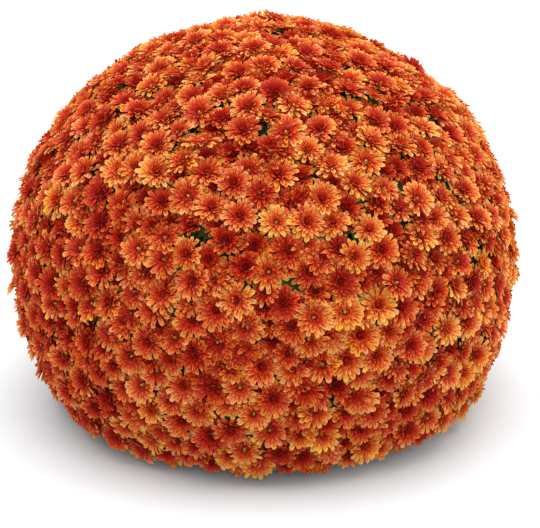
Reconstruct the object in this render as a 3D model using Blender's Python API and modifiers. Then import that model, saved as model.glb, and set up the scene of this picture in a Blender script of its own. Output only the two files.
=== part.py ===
"""A cushion chrysanthemum: one whole plant, cut at its base, standing on its own.

A woody crown with a flat cut carries nineteen main stems in four tiers.
Each stem wears a tuft of leaves and forks into short shoots that hold up one
cluster of flower heads. The nineteen clusters close into a low dome whose
lowest flower heads touch the ground. Metres, +Z up, origin on the ground under
the middle of the plant.
"""

import math

import bmesh
import bpy
import numpy as np
from mathutils import Vector
from mathutils.bvhtree import BVHTree

# Outline of the plant
SPREAD_R = 0.260  # radius at the widest level
WIDEST_Z = 0.159  # height of the widest level
TOP_Z = 0.400  # height of the topmost flower heads
SKIRT_R = 0.208  # radius where the lowest flower heads meet the ground

# Flower heads
HEAD_PITCH = 0.0285  # from one flower head to the next
VALLEY = 0.008  # how far the surface dips between flower heads
HEART_Z = 0.12  # the clusters' side walls all aim at this height on the axis
CLUSTER_EDGE = 0.008  # least thickness of a cluster, at its furthest corner
CLUSTER_GAP = 0.0006  # each cluster stands back this far from its border
SCATTER = 0.22  # irregular growth, as a share of the pitch
EVENING_STEPS = 14

# Tiers of stems: name, how many, arc length from the top, turn of the first one in degrees
TIERS = (
    ("top", 1, 0.0, 0.0),
    ("upper", 5, 0.182, 18.0),
    ("middle", 6, 0.336, 40.0),
    ("lower", 7, 0.486, 12.0),
)

# Crown
CROWN_R = 0.032
CROWN_WAIST_Z = 0.012  # the crown is widest here, under its rounded top
CROWN_RISE = 0.026  # from there to its top
CROWN_CUT_R = 0.026  # radius of the flat cut on the ground
# Where each tier's stems stand, in degrees down the crown's rounded top
FOOT_RINGS = {"top": 0, "upper": 20, "middle": 40, "lower": 60}

# Stems
STEM_FOOT_R = 0.0032
STEM_TOP_R = 0.0023
FOOT_STRETCH = 0.004  # a stem leaves the crown straight for this length
STEM_PULL = 0.7  # how far a stem keeps its first and last directions, as a share of its length
SHOOT_R = 0.0018
SHOOT_RISE = 0.030  # from the fork to the cluster
SHOOT_SPREAD = 0.024
SHOOT_END = 0.009  # the last stretch of a shoot stands square to the cluster
SHOOTS = 3
SEAT_GAP = 0.0003  # between two pieces that touch

# Leaf tufts
TUFT_DROP = 0.010  # below the fork
TUFT_CLEAR = 0.012  # the stem is straight from this far below the tuft
TUFT_SHARE = 0.45  # reach of a tuft, as a share of the room its stem has
TUFT_THICK = 0.003
TUFT_LEAVES = 6
TUFT_SAG = 0.10  # how far the leaf tips hang back, as a share of their reach
LEAF_OUTLINE = (0.52, 0.86, 1.0, 0.86)  # reach at the gap between leaves, then along one leaf

UPPER_H = TOP_Z - WIDEST_Z
LOWER_H = WIDEST_Z / math.sqrt(1 - (SKIRT_R / SPREAD_R) ** 2)
GROUND_ANGLE = math.acos(-WIDEST_Z / LOWER_H)
HEART = Vector((0, 0, HEART_Z))


def outline(angle):
    """Radius and height of the dome where its outline has turned this far from the top."""
    tall = np.where(np.cos(angle) >= 0, UPPER_H, LOWER_H)
    return SPREAD_R * np.sin(angle), WIDEST_Z + tall * np.cos(angle)


def on_dome(angle, turn):
    radius, height = outline(angle)
    return np.stack([radius * np.cos(turn), radius * np.sin(turn), height], axis=-1)


def normal_at(angle, turn):
    """Outward normal of the dome, as a Vector."""
    tall = UPPER_H if math.cos(angle) >= 0 else LOWER_H
    out = math.sin(angle) / SPREAD_R
    up = math.cos(angle) / tall
    return Vector((out * math.cos(turn), out * math.sin(turn), up)).normalized()


def dome_tables(last_angle):
    """Angles down the outline, with the arc length and the area of dome above each."""
    angles = np.linspace(0, last_angle, 4001)
    radius, height = outline(angles)
    steps = np.hypot(np.diff(radius), np.diff(height))
    arc = np.concatenate([[0], np.cumsum(steps)])
    rings = 2 * math.pi * (radius[1:] + radius[:-1]) / 2 * steps
    return angles, arc, np.concatenate([[0], np.cumsum(rings)])


def pulled_back(points):
    """The same points moved onto the dome."""
    radius = np.hypot(points[:, 0], points[:, 1])
    rise = points[:, 2] - WIDEST_Z
    tall = np.where(rise >= 0, UPPER_H, LOWER_H)
    angle = np.arctan2(radius / SPREAD_R, rise / tall)
    return on_dome(angle, np.arctan2(points[:, 1], points[:, 0]))


def head_places():
    """Centres of the flower heads, spread evenly but not regularly, and on below the ground.

    The heads below the ground only close the cells of the lowest real ones.
    """
    angles, _, area = dome_tables(GROUND_ANGLE + 0.3)
    count = round(area[-1] / (math.sqrt(0.75) * HEAD_PITCH**2))
    wanted = (np.arange(count) + 0.5) / count * area[-1]
    golden = math.pi * (3 - math.sqrt(5))
    points = on_dome(np.interp(wanted, area, angles), np.arange(count) * golden)
    drawn = np.random.default_rng(7)
    points = pulled_back(points + drawn.normal(0, SCATTER * HEAD_PITCH, points.shape))
    for _ in range(EVENING_STEPS):
        apart = points[:, None] - points[None]
        far = np.linalg.norm(apart, axis=2) + np.eye(count)
        push = np.clip(1.15 * HEAD_PITCH - far, 0, None) * (far < 1)
        moved = points + 0.3 * (apart / far[..., None] * push[..., None]).sum(axis=1)
        points = pulled_back(moved)
    return points


def studded_dome(places):
    """One mesh over all the places: a low peak for each flower head, with valleys between them.

    The convex hull joins neighbouring heads. Poking puts a valley in each of its
    faces, and turning the hull's own edges then joins valley to valley, so that
    every face belongs to one flower head.
    """
    mesh = bmesh.new()
    head = mesh.verts.layers.int.new("head")
    for number, place in enumerate(places, start=1):
        mesh.verts.new(place)[head] = number
    hull = bmesh.ops.convex_hull(mesh, input=mesh.verts[:])
    loose = [g for g in hull["geom_unused"] + hull["geom_interior"] if isinstance(g, bmesh.types.BMVert)]
    bmesh.ops.delete(mesh, geom=loose, context="VERTS")
    joins = mesh.edges[:]
    poked = bmesh.ops.poke(mesh, faces=mesh.faces[:], offset=-VALLEY)
    for vert in poked["verts"]:
        vert[head] = 0
    bmesh.ops.rotate_edges(mesh, edges=joins)
    mesh.verts.index_update()
    return mesh


def spray_frames():
    """Name, place on the dome and outward normal of each spray, with the room it has around it."""
    angles, arc, _ = dome_tables(GROUND_ANGLE)
    arcs = [tier[2] for tier in TIERS] + [arc[-1] + 0.07]
    frames = []
    for row, (tier, count, along, first) in enumerate(TIERS):
        angle = float(np.interp(along, arc, angles))
        radius = float(outline(angle)[0])
        height = min(arcs[row + 1] - along, along - arcs[row - 1]) if row else arcs[1]
        width = 2 * math.pi * radius / count if row else height
        for number in range(count):
            turn = math.radians(first) + 2 * math.pi * number / count
            name = f"{tier}_spray" if count == 1 else f"{tier}_spray_{number + 1}"
            place = Vector(on_dome(angle, turn))
            frames.append((name, tier, place, normal_at(angle, turn), turn, width, height))
    return frames


def material(name, colour, roughness):
    made = bpy.data.materials.new(name)
    made.use_nodes = True
    shader = made.node_tree.nodes["Principled BSDF"]
    shader.inputs["Base Color"].default_value = (*colour, 1)
    shader.inputs["Roughness"].default_value = roughness
    shader.inputs["Metallic"].default_value = 0
    made.diffuse_color = (*colour, 1)
    return made


def new_object(name, mesh, finish, group):
    made = bpy.data.objects.new(name, mesh)
    made.data.materials.clear()
    made.data.materials.append(finish)
    group.objects.link(made)
    return made


def stand_back(border, distance):
    """Moves the vertices of a mesh's border inwards, square to the border's edges."""
    inward = {}
    for edge in border:
        along = (edge.verts[1].co - edge.verts[0].co).normalized()
        middle = (edge.verts[0].co + edge.verts[1].co) / 2
        into = edge.link_faces[0].calc_center_median() - middle
        into = (into - into.dot(along) * along).normalized()
        for vert in edge.verts:
            inward.setdefault(vert, []).append(into)
    for vert, (first, second) in inward.items():
        bisector = (first + second).normalized()
        vert.co += bisector * distance / max(bisector.dot(first), 0.4)


def settle_on_ground(dome, owned):
    """Puts the valleys beside the heads below the ground on the ground, and returns their numbers."""
    layer = dome.verts.layers.int["head"]
    grounded = set()
    for vert in dome.verts:
        if vert[layer] == 0:
            corners = {corner[layer] for face in vert.link_faces for corner in face.verts}
            heads = [owned[corner - 1] for corner in corners if corner]
            if min(heads) < 0 <= max(heads):
                grounded.add(vert.index)
                vert.co = Vector((vert.co.x, vert.co.y, 0)).normalized() * (SKIRT_R - VALLEY / 2)
    return grounded


def bloom_cluster(dome, grounded, owned, spray, place, normal):
    """One spray's flower heads as a closed solid, and how deep its flat underside lies."""
    cluster = dome.copy()
    layer = cluster.verts.layers.int["head"]
    cluster.verts.ensure_lookup_table()
    on_ground = {cluster.verts[index] for index in grounded}
    strange = [
        face
        for face in cluster.faces
        if all(vert[layer] == 0 or owned[vert[layer] - 1] != spray for vert in face.verts)
    ]
    bmesh.ops.delete(cluster, geom=strange, context="FACES")
    border = [edge for edge in cluster.edges if edge.is_boundary]
    rim = {vert for edge in border for vert in edge.verts}
    stand_back(border, CLUSTER_GAP)
    for vert in rim & on_ground:
        vert.co.z = 0
    depth = max((place - vert.co).dot(normal) for vert in rim) + CLUSTER_EDGE
    under = place - depth * normal
    grown = bmesh.ops.extrude_edge_only(cluster, edges=border)["geom"]
    for vert in (g for g in grown if isinstance(g, bmesh.types.BMVert)):
        share = (vert.co - under).dot(normal) / (vert.co - HEART).dot(normal)
        vert.co = vert.co.lerp(HEART, share)
    floor = [g for g in grown if isinstance(g, bmesh.types.BMEdge) and g.is_boundary]
    bmesh.ops.contextual_create(cluster, geom=floor)
    bmesh.ops.recalc_face_normals(cluster, faces=cluster.faces[:])
    mesh = bpy.data.meshes.new("bloom_cluster")
    cluster.to_mesh(mesh)
    cluster.free()
    return mesh, depth


def crown(finish, group):
    """The woody base, turned from half its outline: flat cut, bulging side, rounded top."""
    rings = [(0, 0), (CROWN_CUT_R, 0)]
    for ring in range(90, 0, -15):
        tilt = math.radians(ring)
        rings.append((CROWN_R * math.sin(tilt), CROWN_WAIST_Z + CROWN_RISE * math.cos(tilt)))
    rings.append((0, CROWN_WAIST_Z + CROWN_RISE))
    profile = bpy.data.meshes.new("crown")
    points = [(radius, 0, height) for radius, height in reversed(rings)]
    profile.from_pydata(points, [(i, i + 1) for i in range(len(points) - 1)], [])
    made = new_object("crown", profile, finish, group)
    turned = made.modifiers.new("turned", "SCREW")
    turned.steps = turned.render_steps = 16
    turned.use_merge_vertices = True
    turned.merge_threshold = 0.0001
    return made


def tube(points, radii):
    """A closed tube along the points, as a mesh."""
    curve = bpy.data.curves.new("tube", "CURVE")
    curve.dimensions = "3D"
    curve.bevel_depth = 1
    curve.bevel_resolution = 1
    curve.use_fill_caps = True
    line = curve.splines.new("POLY")
    line.points.add(len(points) - 1)
    for point, place, radius in zip(line.points, points, radii, strict=True):
        point.co = (*place, 1)
        point.radius = radius
    holder = bpy.data.objects.new("tube", curve)
    bpy.context.scene.collection.objects.link(holder)
    bpy.context.view_layer.update()
    mesh = bpy.data.meshes.new_from_object(holder.evaluated_get(bpy.context.evaluated_depsgraph_get()))
    bpy.data.objects.remove(holder)
    bpy.data.curves.remove(curve)
    welded = bmesh.new()
    welded.from_mesh(mesh)
    bmesh.ops.remove_doubles(welded, verts=welded.verts[:], dist=1e-6)
    bmesh.ops.recalc_face_normals(welded, faces=welded.faces[:])
    welded.to_mesh(mesh)
    welded.free()
    return mesh


def foot_on_crown(surface, tier, turn):
    """Where a stem's flat foot sits just clear of the crown, and the way it points."""
    tilt = math.radians(FOOT_RINGS[tier])
    outward = Vector((math.cos(turn), math.sin(turn), 0))
    place = CROWN_R * math.sin(tilt) * outward
    place.z = CROWN_WAIST_Z + CROWN_RISE * math.cos(tilt)
    direction = math.sin(tilt) / CROWN_R * outward
    direction.z = math.cos(tilt) / CROWN_RISE
    direction.normalize()
    side = direction.orthogonal().normalized()
    up = direction.cross(side)
    far = place + CROWN_R * direction
    reach = []
    for ring in (0, 0.5, 1):
        for corner in range(24):
            around = 2 * math.pi * corner / 24
            offset = ring * STEM_FOOT_R * (math.cos(around) * side + math.sin(around) * up)
            reach.append(surface.ray_cast(far + offset, -direction)[3])
    return far - (min(reach) - SEAT_GAP) * direction, direction


def stem_route(foot, start, under, normal):
    """Points from the crown to the cluster: straight out, a smooth bend, straight to the underside."""
    bend_start = foot + FOOT_STRETCH * start
    bend_end = under - (SHOOT_RISE + TUFT_DROP + TUFT_CLEAR) * normal
    pull = STEM_PULL * (bend_end - bend_start).length
    points = [foot]
    for step in range(5):
        t = step / 4
        points.append(
            (2 * t**3 - 3 * t**2 + 1) * bend_start
            + (t**3 - 2 * t**2 + t) * pull * start
            + (3 * t**2 - 2 * t**3) * bend_end
            + (t**3 - t**2) * pull * normal
        )
    return [*points, under - SEAT_GAP * normal]


def stem(name, tier, turn, under, normal, crown_surface, groups, finish):
    """The main stem of one spray, joined with the shoots that fork from it."""
    foot, start = foot_on_crown(crown_surface, tier, turn)
    route = stem_route(foot, start, under, normal)
    radii = np.linspace(STEM_FOOT_R, STEM_TOP_R, len(route) - 1).tolist() + [STEM_TOP_R]
    made = new_object(name, tube(route, radii), finish, groups["parts"])
    fork = under - SHOOT_RISE * normal
    side = normal.orthogonal().normalized()
    other = normal.cross(side)
    for number in range(SHOOTS):
        around = 2 * math.pi * number / SHOOTS
        out = SHOOT_SPREAD * (math.cos(around) * side + math.sin(around) * other)
        points = [fork, under + out - SHOOT_END * normal, under + out - SEAT_GAP * normal]
        shoot_mesh = tube(points, [SHOOT_R] * len(points))
        shoot = new_object(f"{name}_shoot_{number + 1}", shoot_mesh, finish, groups["joined"])
        shoot.hide_render = True
        shoot.display_type = "WIRE"
        union = made.modifiers.new(f"shoot_{number + 1}", "BOOLEAN")
        union.operation = "UNION"
        union.solver = "EXACT"
        union.object = shoot
    return made


def leaf_tuft(name, under, normal, turn, room, finish, group):
    """A whorl of broad leaves around the stem, as one thick toothed plate with a hole for the stem.

    The room is the width and height that the tuft has between its neighbours.
    """
    across = Vector((-math.sin(turn), math.cos(turn), 0))
    upward = normal.cross(across)
    centre = under - (SHOOT_RISE + TUFT_DROP) * normal
    reach_across, reach_up = (TUFT_SHARE * side for side in room)
    around = TUFT_LEAVES * len(LEAF_OUTLINE)
    hole = (STEM_TOP_R + SEAT_GAP + 0.0001) / math.cos(math.pi / around)
    mesh = bmesh.new()
    rings = []
    for share in (0.0, 1.0):
        ring = []
        for step in range(around):
            angle = 2 * math.pi * (step + 0.5) / around
            flat = Vector((math.cos(angle), math.sin(angle)))
            widest = Vector((reach_across * flat.x, reach_up * flat.y)).length
            edge = LEAF_OUTLINE[step % len(LEAF_OUTLINE)] * widest
            reach = hole + share * (edge - hole)
            flat *= reach
            sag = TUFT_SAG * share * reach
            ring.append(mesh.verts.new(centre + flat.x * across + flat.y * upward - sag * normal))
        rings.append(ring)
    for step in range(around):
        after = (step + 1) % around
        mesh.faces.new((rings[0][step], rings[1][step], rings[1][after], rings[0][after]))
    bmesh.ops.recalc_face_normals(mesh, faces=mesh.faces[:])
    plate = bpy.data.meshes.new(name)
    mesh.to_mesh(plate)
    mesh.free()
    made = new_object(name, plate, finish, group)
    thick = made.modifiers.new("thickness", "SOLIDIFY")
    thick.thickness = TUFT_THICK
    thick.offset = 0
    return made


def collections():
    groups = {}
    for key, name in (("parts", "chrysanthemum"), ("joined", "joined_shapes")):
        groups[key] = bpy.data.collections.new(name)
        bpy.context.scene.collection.children.link(groups[key])
    groups["joined"].hide_render = True
    return groups


def clear_scene():
    for old in list(bpy.data.objects):
        bpy.data.objects.remove(old, do_unlink=True)


def build():
    clear_scene()
    groups = collections()
    wood = material("woody_crown", (0.16, 0.10, 0.05), 0.85)
    green = material("green_stem", (0.13, 0.19, 0.06), 0.6)
    leaf = material("leaf", (0.05, 0.13, 0.03), 0.6)
    petal = material("petal", (0.62, 0.11, 0.02), 0.55)

    base = crown(wood, groups["parts"])
    bpy.context.view_layer.update()
    crown_surface = BVHTree.FromObject(base, bpy.context.evaluated_depsgraph_get())

    frames = spray_frames()
    places = head_places()
    centres = np.array([frame[2] for frame in frames])
    owned = np.linalg.norm(places[:, None] - centres[None], axis=2).argmin(axis=1)
    owned[places[:, 2] < HEAD_PITCH / 3] = -1
    dome = studded_dome(places)
    grounded = settle_on_ground(dome, owned)
    for number, (name, tier, place, normal, turn, width, height) in enumerate(frames):
        mesh, depth = bloom_cluster(dome, grounded, owned, number, place, normal)
        new_object(f"{name}_blooms", mesh, petal, groups["parts"])
        under = place - depth * normal
        stem(f"{name}_stem", tier, turn, under, normal, crown_surface, groups, green)
        depth_share = 1 - (depth + SHOOT_RISE + TUFT_DROP) / SPREAD_R
        room = (depth_share * width, depth_share * height)
        leaf_tuft(f"{name}_leaves", under, normal, turn, room, leaf, groups["parts"])
        print(name, "flower heads:", int((owned == number).sum()), "depth mm:", round(1000 * depth, 1))
    dome.free()
    print("flower heads in all:", int((owned >= 0).sum()))


build()
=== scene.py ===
# %% [markdown]
# # A cushion chrysanthemum in full bloom
#
# A garden chrysanthemum that is pinched back in early summer grows into a dome of
# many hundred small double flower heads. The solid model underneath fixes its size:
# a woody crown and nineteen sprays, each with a main stem, a tuft of leaves and a
# cluster that stands for its flower heads. This file dresses every one of those
# solids. Petals, leaves, stalks and bark are grown where the solids say, and each
# cluster, tuft and crown is then hidden behind its own piece. The main stems keep
# their solids and only get a finish.

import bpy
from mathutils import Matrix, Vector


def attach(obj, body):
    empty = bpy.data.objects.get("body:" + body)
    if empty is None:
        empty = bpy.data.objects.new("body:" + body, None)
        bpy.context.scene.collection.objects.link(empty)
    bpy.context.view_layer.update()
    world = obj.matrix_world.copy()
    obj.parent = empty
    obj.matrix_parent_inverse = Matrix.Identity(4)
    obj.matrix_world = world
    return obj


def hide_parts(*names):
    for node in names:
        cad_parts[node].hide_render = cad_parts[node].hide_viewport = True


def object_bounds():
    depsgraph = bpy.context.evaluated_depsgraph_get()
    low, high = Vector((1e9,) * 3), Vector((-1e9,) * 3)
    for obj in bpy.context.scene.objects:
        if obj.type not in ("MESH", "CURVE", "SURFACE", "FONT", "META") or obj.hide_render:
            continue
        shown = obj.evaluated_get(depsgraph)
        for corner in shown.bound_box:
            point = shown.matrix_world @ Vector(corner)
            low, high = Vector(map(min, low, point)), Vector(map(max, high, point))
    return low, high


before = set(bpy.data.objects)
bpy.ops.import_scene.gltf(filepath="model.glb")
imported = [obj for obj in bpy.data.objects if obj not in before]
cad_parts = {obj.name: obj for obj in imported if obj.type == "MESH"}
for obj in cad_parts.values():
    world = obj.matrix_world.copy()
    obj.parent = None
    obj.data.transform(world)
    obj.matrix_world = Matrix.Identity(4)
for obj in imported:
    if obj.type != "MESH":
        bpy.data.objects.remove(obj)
solid_box = [list(map(float, corner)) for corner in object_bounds()]
print("solid model box, metres:", solid_box)

# %% [markdown]
# Blender's own modules do the modelling, and numpy does the arithmetic. The plant
# has eighteen hundred flower heads, with about forty to sixty-five petals each. A loop
# over single points would be slow, so numpy works on many petals at once. Chance comes
# from one seeded generator, which makes the plant the same on every run.

# %% Modules and the one source of chance
import math

import bmesh
import bpy
import numpy as np
from mathutils import Vector, noise

drawn = np.random.default_rng(23)

# %% [markdown]
# The dome's outline is part of an ellipsoid above its widest level and of a rounder
# one below it. Its width and its top are read from the solid model's box. The level
# where it is widest and its radius at the ground are two sizes that a box can't
# tell, so they are named here.

# %% The outline of the dome
WIDEST_Z = 0.159
SKIRT_R = 0.208
dome_r = (solid_box[1][0] - solid_box[0][0] + solid_box[1][1] - solid_box[0][1]) / 4
upper_h = solid_box[1][2] - WIDEST_Z
lower_h = WIDEST_Z / math.sqrt(1 - (SKIRT_R / dome_r) ** 2)


def half_height(points):
    """Half height of the ellipsoid that the outline follows at each point's level."""
    return np.where(points[:, 2] >= WIDEST_Z, upper_h, lower_h)


def level_of(points):
    """1 on the outline, less inside it and more outside."""
    rise = (points[:, 2] - WIDEST_Z) / half_height(points)
    return np.sqrt((points[:, :2] ** 2).sum(axis=1) / dome_r**2 + rise**2)


def unit(vectors):
    """The same directions with a length of 1."""
    return vectors / np.linalg.norm(vectors, axis=-1, keepdims=True)


def outward(points):
    """Unit vectors that point straight out of the dome."""
    steep = np.empty_like(points)
    steep[:, :2] = points[:, :2] / dome_r**2
    steep[:, 2] = (points[:, 2] - WIDEST_Z) / half_height(points) ** 2
    return unit(steep)


print("dome radius", round(dome_r, 4), "half heights", round(upper_h, 4), round(lower_h, 4))

# %% [markdown]
# The camera looks down on the dome at an angle of about 20 degrees, from far enough
# away that the sides hardly converge. Its lens follows from that distance and from
# the share of the picture that the plant fills.

# %% Camera
CAMERA_TILT = math.radians(20.5)
CAMERA_FAR = 1.75
PLANT_SHARE = 0.93
LOOK_AT = Vector((0.006, 0.0, 0.1445))

camera = bpy.data.objects.new("camera", bpy.data.cameras.new("camera"))
bpy.context.scene.collection.objects.link(camera)
towards_viewer = Vector((0, -math.cos(CAMERA_TILT), math.sin(CAMERA_TILT)))
camera.location = LOOK_AT + CAMERA_FAR * towards_viewer
camera.rotation_euler = (math.pi / 2 - CAMERA_TILT, 0, 0)
seen_width = 2 * dome_r / PLANT_SHARE
camera.data.lens = camera.data.sensor_width * CAMERA_FAR / seen_width
bpy.context.scene.camera = camera
print("lens", round(camera.data.lens, 1), "mm")

# %% [markdown]
# Materials are node graphs. A few small helpers keep their text readable. The first
# ones start a material, feed an input with a number, a colour or another node, and add
# a node. Colours are written as they look on a screen, and `paint` turns them into the
# linear values that a shader works with.

# %% Starting a material and adding nodes
def paint(red, green, blue):
    """A screen colour as linear light, with full opacity."""
    parts = [c / 12.92 if c <= 0.04045 else ((c + 0.055) / 1.055) ** 2.4 for c in (red, green, blue)]
    return (*parts, 1.0)


def new_material(name):
    """A material that holds only the shader and the output, with its node tree."""
    made = bpy.data.materials.new(name)
    made.use_nodes = True
    return made, made.node_tree, made.node_tree.nodes["Principled BSDF"]


def feed(tree, socket, value):
    """Links a node's output to this input, or writes a plain value into it."""
    if isinstance(value, bpy.types.NodeSocket):
        tree.links.new(value, socket)
    else:
        socket.default_value = value


def add_node(tree, kind, inputs=None, **settings):
    """A new node with its settings and its inputs, which go by name or number."""
    made = tree.nodes.new(kind)
    for key, value in settings.items():
        setattr(made, key, value)
    for key, value in (inputs or {}).items():
        feed(tree, made.inputs[key], value)
    return made


# %% [markdown]
# The next helpers make numbers in a material: single steps of arithmetic on numbers and
# on vectors, the place of a point in its own object, and soft noise. Most finishes take
# one noise and spread it over a range of roughness, shade or height.

# %% Arithmetic and noise in a material
def maths(tree, operation, *values):
    """The result of one step of arithmetic."""
    return add_node(tree, "ShaderNodeMath", dict(enumerate(values)), operation=operation).outputs[0]


def vector_maths(tree, operation, *values, output="Vector"):
    """The result of one step of arithmetic on vectors."""
    made = add_node(tree, "ShaderNodeVectorMath", dict(enumerate(values)), operation=operation)
    return made.outputs[output]


def own_place(tree):
    """Where a point lies in its own object, in metres."""
    return add_node(tree, "ShaderNodeTexCoord").outputs["Object"]


def soft_noise(tree, place, scale, detail, roughness=0.5):
    """Noise between 0 and 1, mostly near the middle."""
    settings = {"Vector": place, "Scale": scale, "Detail": detail, "Roughness": roughness}
    return add_node(tree, "ShaderNodeTexNoise", settings).outputs["Fac"]


def spread_over(tree, value, low, high):
    """A 0 to 1 value spread over the range from low to high."""
    return maths(tree, "MULTIPLY_ADD", value, high - low, low)


def from_half(tree, value, size):
    """A 0 to 1 value as a swing of this size around nothing."""
    return maths(tree, "MULTIPLY", maths(tree, "SUBTRACT", value, 0.5), size)


# %% [markdown]
# The last of these helpers turn numbers into colours: a ramp looks a number up in a
# scale of colours, and the others combine two colours or make a grey.

# %% Colours in a material
def ramp(tree, factor, stops):
    """A colour that follows the factor through (place, colour) stops."""
    made = add_node(tree, "ShaderNodeValToRGB", {"Fac": factor})
    while len(made.color_ramp.elements) < len(stops):
        made.color_ramp.elements.new(0.5)
    for element, (place, colour) in zip(made.color_ramp.elements, stops):
        element.position = place
        element.color = colour
    return made.outputs["Color"]


def blend_colours(tree, how, factor, first, second):
    """Two colours mixed, multiplied or otherwise combined."""
    made = add_node(tree, "ShaderNodeMix", data_type="RGBA", blend_type=how)
    colour_inputs = [socket for socket in made.inputs if socket.type == "RGBA"]
    feed(tree, made.inputs["Factor"], factor)
    feed(tree, colour_inputs[0], first)
    feed(tree, colour_inputs[1], second)
    return next(socket for socket in made.outputs if socket.type == "RGBA")


def grey(tree, value):
    """A number as a shade of grey, to multiply a colour with."""
    return add_node(tree, "ShaderNodeCombineColor", {0: value, 1: value, 2: value}).outputs[0]


# %% [markdown]
# The studio is plain, and its floor is pale paper without an edge in sight. The paper
# is a little cool, because the flowers throw warm light on it, and it lies a hair below
# the plant's cut, so that the two flat faces don't coincide. Farther out the lamps
# hardly reach it, so there its colour is painted whiter as painted light, and so it
# meets the surround without a dark band.

# %% Paper floor
FLOOR_SIDE = 16
FLOOR_BELOW = 0.0001
PAPER_MOTTLE = 6.0
PAPER_TONES = [
    (0.3, paint(0.818, 0.827, 0.833)),
    (0.7, paint(0.832, 0.841, 0.845)),
]
# Painted light: the whiter paper colour that stands in for lamp light far from the plant.
FAR_PAPER_PAINTED_LIGHT = paint(0.98, 0.98, 0.98)
WHITER_FROM = 0.8
WHITE_BY = 2.4


def paper_finish():
    """Matt paper with a faint mottle, and painted light: it is painted whiter away from the plant,
    where the lamps hardly reach.
    """
    made, tree, shader = new_material("floor_paper")
    place = own_place(tree)
    near = ramp(tree, soft_noise(tree, place, PAPER_MOTTLE, 3.0), PAPER_TONES)
    distance = vector_maths(tree, "LENGTH", place, output="Value")
    reach = {"Value": distance, "From Min": WHITER_FROM, "From Max": WHITE_BY}
    whiter = add_node(tree, "ShaderNodeMapRange", reach, interpolation_type="SMOOTHSTEP")
    # Painted light: the paper is painted whiter where the lamps hardly reach.
    colour = blend_colours(tree, "MIX", whiter.outputs["Result"], near, FAR_PAPER_PAINTED_LIGHT)
    feed(tree, shader.inputs["Base Color"], colour)
    shader.inputs["Roughness"].default_value = 0.9
    shader.inputs["Specular IOR Level"].default_value = 0.1
    return made


bpy.ops.mesh.primitive_plane_add(size=FLOOR_SIDE)
floor = bpy.context.object
floor.name = "floor"
floor.location.z = -FLOOR_BELOW
floor.data.materials.append(paper_finish())
print("floor side", FLOOR_SIDE, "m")

# %% [markdown]
# The light comes from a very wide soft lamp overhead, three small ones low in front and
# at the sides, and an even white surround. The wide lamp makes the top of the dome
# brighter than its skirt, and the small ones reach into the gaps between the flowers.
# The colours are shown as they are, without the film-like curve that Blender uses at
# first, because that curve would dull the reds.

# %% Surround and lamps
SURROUND_LIGHT = 0.77
LAMPS = {
    # power, side, place
    "ceiling_lamp": (143, 3.8, (0.03, 0.0, 2.6)),
    "front_lamp": (7.2, 0.7, (0.05, -1.75, 0.85)),
    "right_lamp": (10.0, 1.0, (1.9, -0.3, 0.9)),
    "left_lamp": (5.5, 1.0, (-1.9, -0.3, 0.9)),
}

surround = bpy.data.worlds.new("surround")
surround.use_nodes = True
surround_light = surround.node_tree.nodes["Background"]
surround_light.inputs["Color"].default_value = (1, 1, 1, 1)
surround_light.inputs["Strength"].default_value = SURROUND_LIGHT
bpy.context.scene.world = surround

for name, (power, side, place) in LAMPS.items():
    lamp = bpy.data.objects.new(name, bpy.data.lights.new(name, "AREA"))
    bpy.context.scene.collection.objects.link(lamp)
    lamp.data.size = side
    lamp.data.energy = power
    lamp.location = place
    lamp.rotation_euler = (LOOK_AT - lamp.location).to_track_quat("-Z", "Y").to_euler()
bpy.context.scene.view_settings.view_transform = "Standard"
print("lamps:", ", ".join(LAMPS))

# %% [markdown]
# Every low peak of a cluster solid marks one flower head. Only the peaks lie on the
# outline of the dome, and the dips between them lie a few millimetres deeper, so both
# can be read back from the solids, spray by spray. Typing in a list of places would
# work too, but then a change to the solids would leave the flowers behind.

# %% Peaks and dips of the cluster solids
ON_OUTLINE = 0.004
DIP_LEVELS = (0.955, 0.985)
DIP_LOWEST_Z = 0.012


def points_of(name):
    """The corner points of one solid."""
    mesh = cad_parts[name].data
    points = np.empty(len(mesh.vertices) * 3)
    mesh.vertices.foreach_get("co", points)
    return np.unique(points.reshape(-1, 3).round(6), axis=0)


def peaks_and_dips(spray):
    """The peaks of one cluster solid and the dips between them."""
    points = points_of(f"{spray}_blooms")
    level = level_of(points)
    is_dip = (level > DIP_LEVELS[0]) & (level < DIP_LEVELS[1]) & (points[:, 2] > DIP_LOWEST_Z)
    return points[np.abs(level - 1) < ON_OUTLINE], points[is_dip]


sprays = sorted(name.removesuffix("_blooms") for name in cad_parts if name.endswith("_blooms"))
peaks, dips = zip(*(peaks_and_dips(spray) for spray in sprays))
print(len(sprays), "sprays,", sum(map(len, peaks)), "peaks,", sum(map(len, dips)), "dips")

# %% [markdown]
# The large heads stand on the peaks. Smaller heads that opened later fill the room
# between them. Picking dips by chance would leave some bare patches and some crowded
# ones. So the dip with the most room around it is taken first, the room is measured
# again, and so on until all of the small heads have a place. This runs over all
# sprays together, so that their borders are filled as evenly as their middles.

# %% Places for the large and the small heads
SMALL_COUNT = 880


def distances(first, second):
    """How far each point of the first list lies from each of the second."""
    return np.linalg.norm(first[:, None] - second[None], axis=2)


def roomiest_first(points, others, count):
    """Numbers of the points that are taken when each is the farthest from all before it."""
    room = distances(points, others).min(axis=1)
    taken = []
    for _ in range(count):
        taken.append(room.argmax())
        room = np.minimum(room, distances(points, points[taken[-1:]])[:, 0])
    return np.array(taken)


owner = np.repeat(np.arange(len(sprays)), [len(found) for found in dips])
all_dips = np.concatenate(dips)
taken = roomiest_first(all_dips, np.concatenate(peaks), SMALL_COUNT)
places_of = {}
for number, spray in enumerate(sprays):
    places_of[spray] = (peaks[number], all_dips[taken[owner[taken] == number]])
print(sum(map(len, peaks)), "large heads,", len(taken), "small heads")

# %% [markdown]
# Petals, leaves and stalks all become grids of points: so many rows along the part
# and so many points across it. One helper turns a stack of equal grids into
# triangles. Blender's modelling commands could make one petal at a time, but here all
# petals of a kind are made in one go.

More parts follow.
